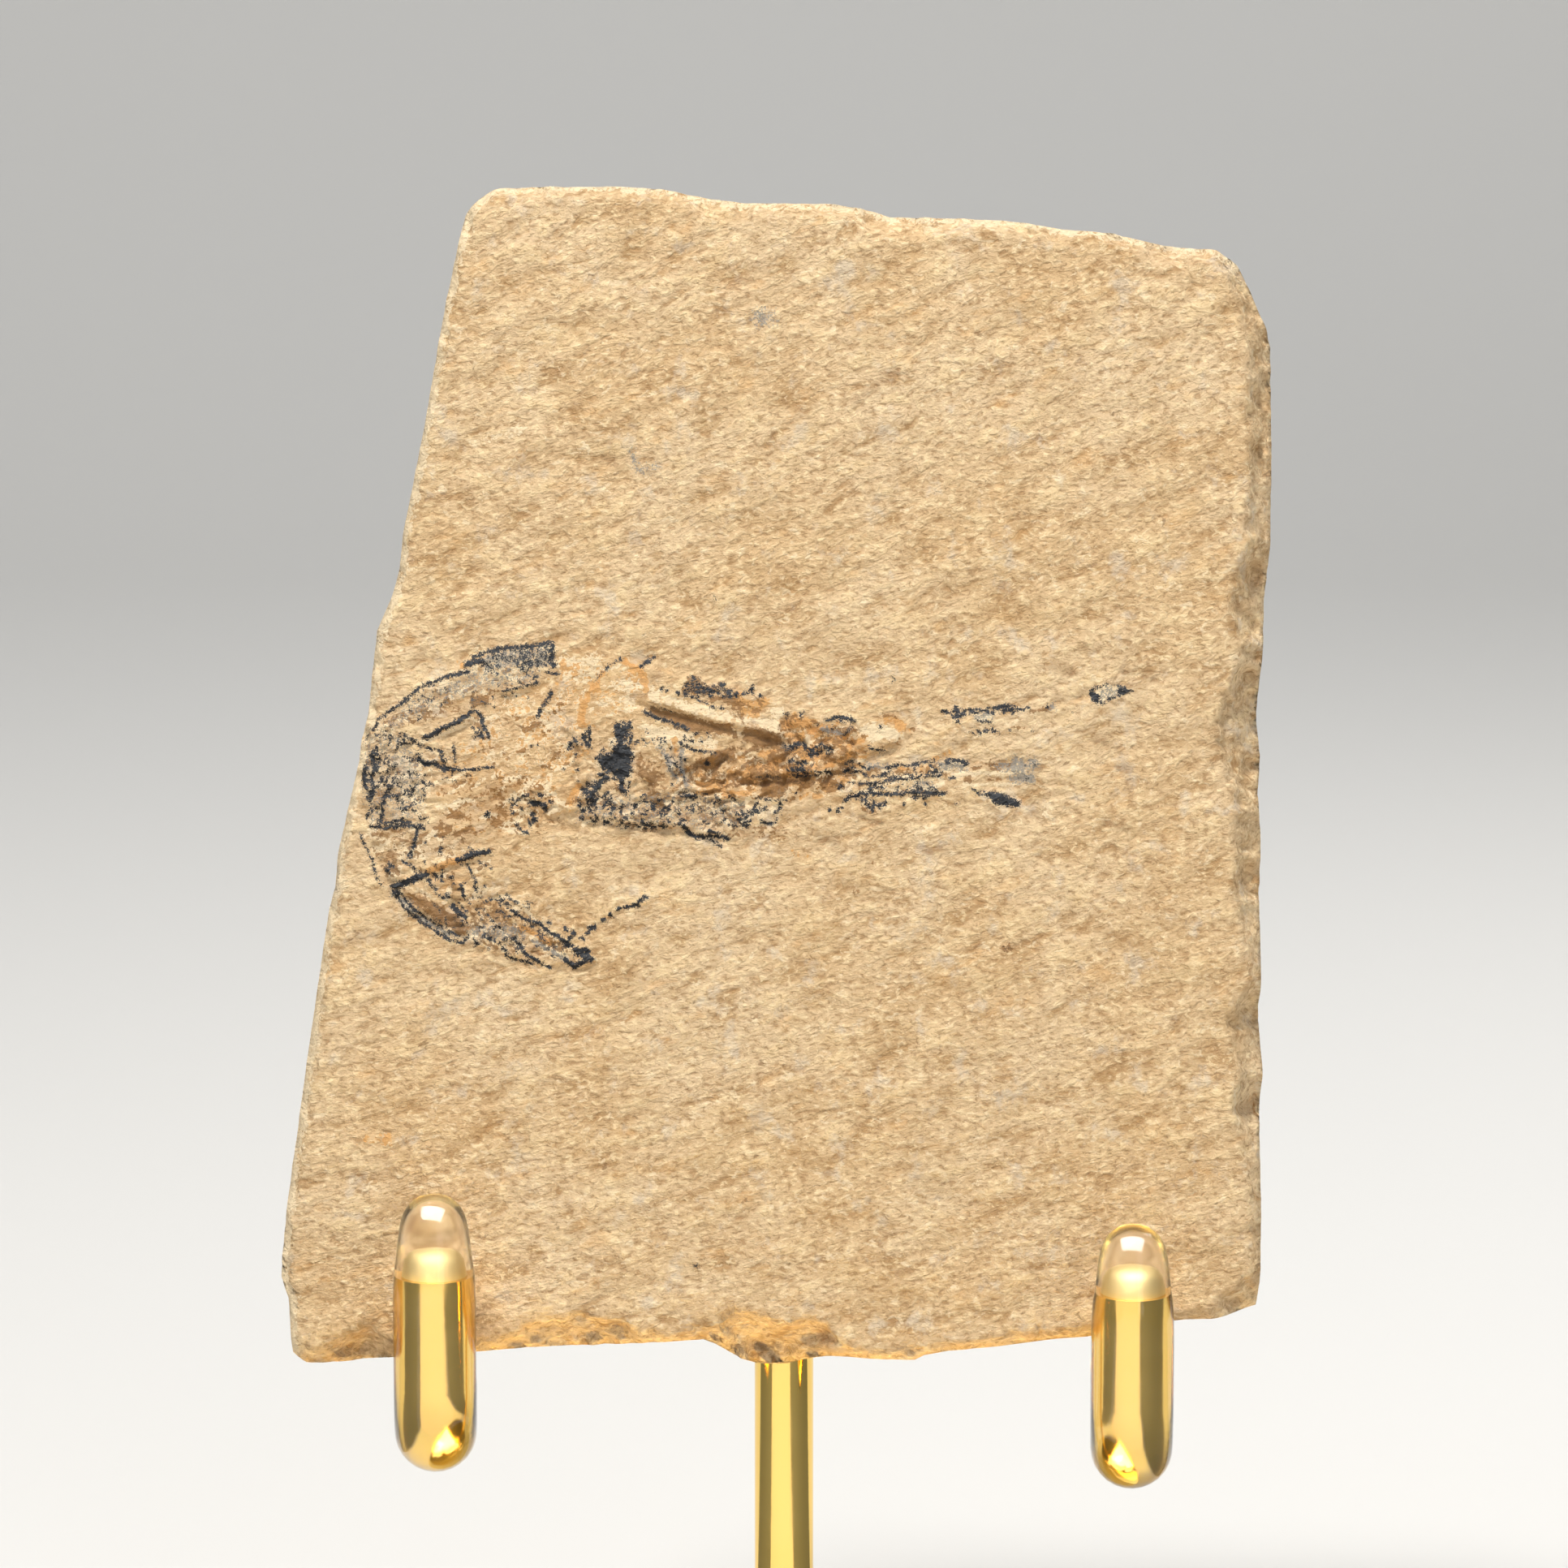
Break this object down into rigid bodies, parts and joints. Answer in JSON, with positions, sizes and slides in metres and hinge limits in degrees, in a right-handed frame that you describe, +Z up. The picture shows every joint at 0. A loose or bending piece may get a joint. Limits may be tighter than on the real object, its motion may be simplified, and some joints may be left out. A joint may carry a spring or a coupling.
{
  "type": "fossil shrimp plate",
  "caption": "Split limestone plate with a fossil shrimp on its face, leaning in a bent brass rod stand with clear sleeved prongs and a round foot.",
  "frame": {"origin": "centre of the foot's underside, on the surface that the stand rests on", "axes": "+Z up along the post, -Y towards the viewer of the plate's face, +X to the viewer's right"},
  "size_m": [0.0785, 0.07, 0.1367],
  "materials": {
    "limestone": "rough split face, warm cream",
    "brass_rod": "polished",
    "brass_post": "polished",
    "brass_foot": "polished",
    "clear_vinyl": "clear, glossy"
  },
  "bodies": {
    "root": {"fossil_slab": "limestone", "cradle": "brass_rod", "post": "brass_post", "base": "brass_foot", "left_sleeve": "clear_vinyl", "right_sleeve": "clear_vinyl"}
  },
  "joints": []
}
